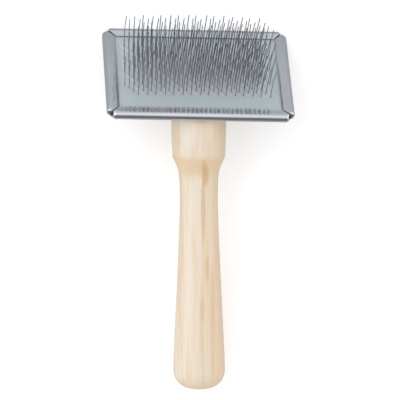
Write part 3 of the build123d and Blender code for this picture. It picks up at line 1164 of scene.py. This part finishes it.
class BRUSH_OT_stage(bpy.types.Operator):
    """Set up the floor, the soft lights and the camera above the brush"""

    bl_idname = "brush.stage"
    bl_label = "Floor, lights and camera"

    def execute(self, context):
        scene = context.scene
        stage = scene.brush_stage
        scene.view_settings.view_transform = "Standard"
        floor = start("plane", "floor", size=8)
        pick_all()
        bpy.ops.mesh.subdivide(number_cuts=3)
        leave_edit()
        floor.data.materials.append(floor_material(stage))
        self.add_softbox(context, stage)
        self.light_world(scene, stage)
        self.add_camera(scene, stage)
        return {"FINISHED"}

    def add_softbox(self, context, stage):
        """A weak square softbox that faces the brush."""
        lamp = bpy.data.lights.new("left softbox", "AREA")
        lamp.shape = "SQUARE"
        lamp.size = stage.softbox_size
        lamp.energy = stage.softbox_power
        light = bpy.data.objects.new("left softbox", lamp)
        context.collection.objects.link(light)
        light.location = stage.softbox_place
        light.rotation_euler = (-light.location).to_track_quat("-Z", "Y").to_euler()

    def light_world(self, scene, stage):
        """A pale room. In reflections it is bright above and beyond the head, and dark behind the handle."""
        world = bpy.data.worlds.new("Pale room")
        scene.world = world
        world.use_nodes = True
        tree = world.node_tree
        direction = tree.nodes.new("ShaderNodeTexCoord").outputs["Generated"]
        parts = add_node(tree, "ShaderNodeSeparateXYZ", Vector=direction)
        levels = [step_between(parts.outputs[axis], *limits) for axis, *limits in ROOM_LEVELS]
        strip = [step_between(parts.outputs["Y"], *limits) for limits in STRIP_LEVELS]
        mirrored = calculate("ADD", *levels, calculate("MULTIPLY", *strip))
        glossy = tree.nodes.new("ShaderNodeLightPath").outputs["Is Glossy Ray"]
        even = calculate("SUBTRACT", 1.0, glossy)
        level = calculate("ADD", calculate("MULTIPLY", mirrored, glossy), even)
        dress(tree.nodes["Background"], Color=(*stage.room, 1), Strength=level)

    def add_camera(self, scene, stage):
        """A long lens nearly straight above, turned so that the head is at the top of the picture."""
        towards = Vector(
            (
                math.sin(stage.camera_side),
                math.sin(stage.camera_forward),
                math.cos(stage.camera_side) * math.cos(stage.camera_forward),
            )
        ).normalized()
        right = Vector((0, 1, 0)).cross(towards).normalized()
        up = towards.cross(right)
        turn = Matrix.Rotation(stage.camera_roll, 3, "Z")
        axes = Matrix((right, up, towards)).transposed() @ turn
        lens = bpy.data.cameras.new("camera")
        lens.lens = stage.camera_lens
        lens.sensor_width = 36
        camera = bpy.data.objects.new("camera", lens)
        scene.collection.objects.link(camera)
        where = stage.camera_aim + towards * stage.camera_distance
        camera.matrix_world = Matrix.Translation(where) @ axes.to_4x4()
        scene.camera = camera


class BRUSH_PT_panel(bpy.types.Panel):
    """The brush's settings, and a button for each of its pieces"""

    bl_label = "Slicker Brush"
    bl_idname = "BRUSH_PT_panel"
    bl_space_type = "VIEW_3D"
    bl_region_type = "UI"
    bl_category = "Slicker Brush"

    def draw(self, context):
        for operator in OPERATORS:
            self.layout.operator(operator.bl_idname)
        for name, settings in SETTINGS.items():
            box = self.layout.box()
            box.label(text=name.replace("_", " ").capitalize())
            for setting in settings.__annotations__:
                box.prop(getattr(context.scene, name), setting)


OPERATORS = (
    BRUSH_OT_stage,
    BRUSH_OT_handle,
    BRUSH_OT_pan,
    BRUSH_OT_pad,
    BRUSH_OT_wires,
    BRUSH_OT_inside,
)


def register():
    for group in SETTINGS.values():
        bpy.utils.register_class(group)
    for name, group in SETTINGS.items():
        setattr(bpy.types.Scene, name, PointerProperty(type=group))
    for operator in OPERATORS:
        bpy.utils.register_class(operator)
    bpy.utils.register_class(BRUSH_PT_panel)


def unregister():
    bpy.utils.unregister_class(BRUSH_PT_panel)
    for operator in reversed(OPERATORS):
        bpy.utils.unregister_class(operator)
    for name, group in SETTINGS.items():
        delattr(bpy.types.Scene, name)
        bpy.utils.unregister_class(group)


def main():
    register()
    bpy.ops.brush.stage()
    bpy.ops.brush.handle()
    bpy.ops.brush.pan()
    bpy.ops.brush.pad()
    bpy.ops.brush.wires()
    bpy.ops.brush.inside()


if __name__ == "__main__":
    main()
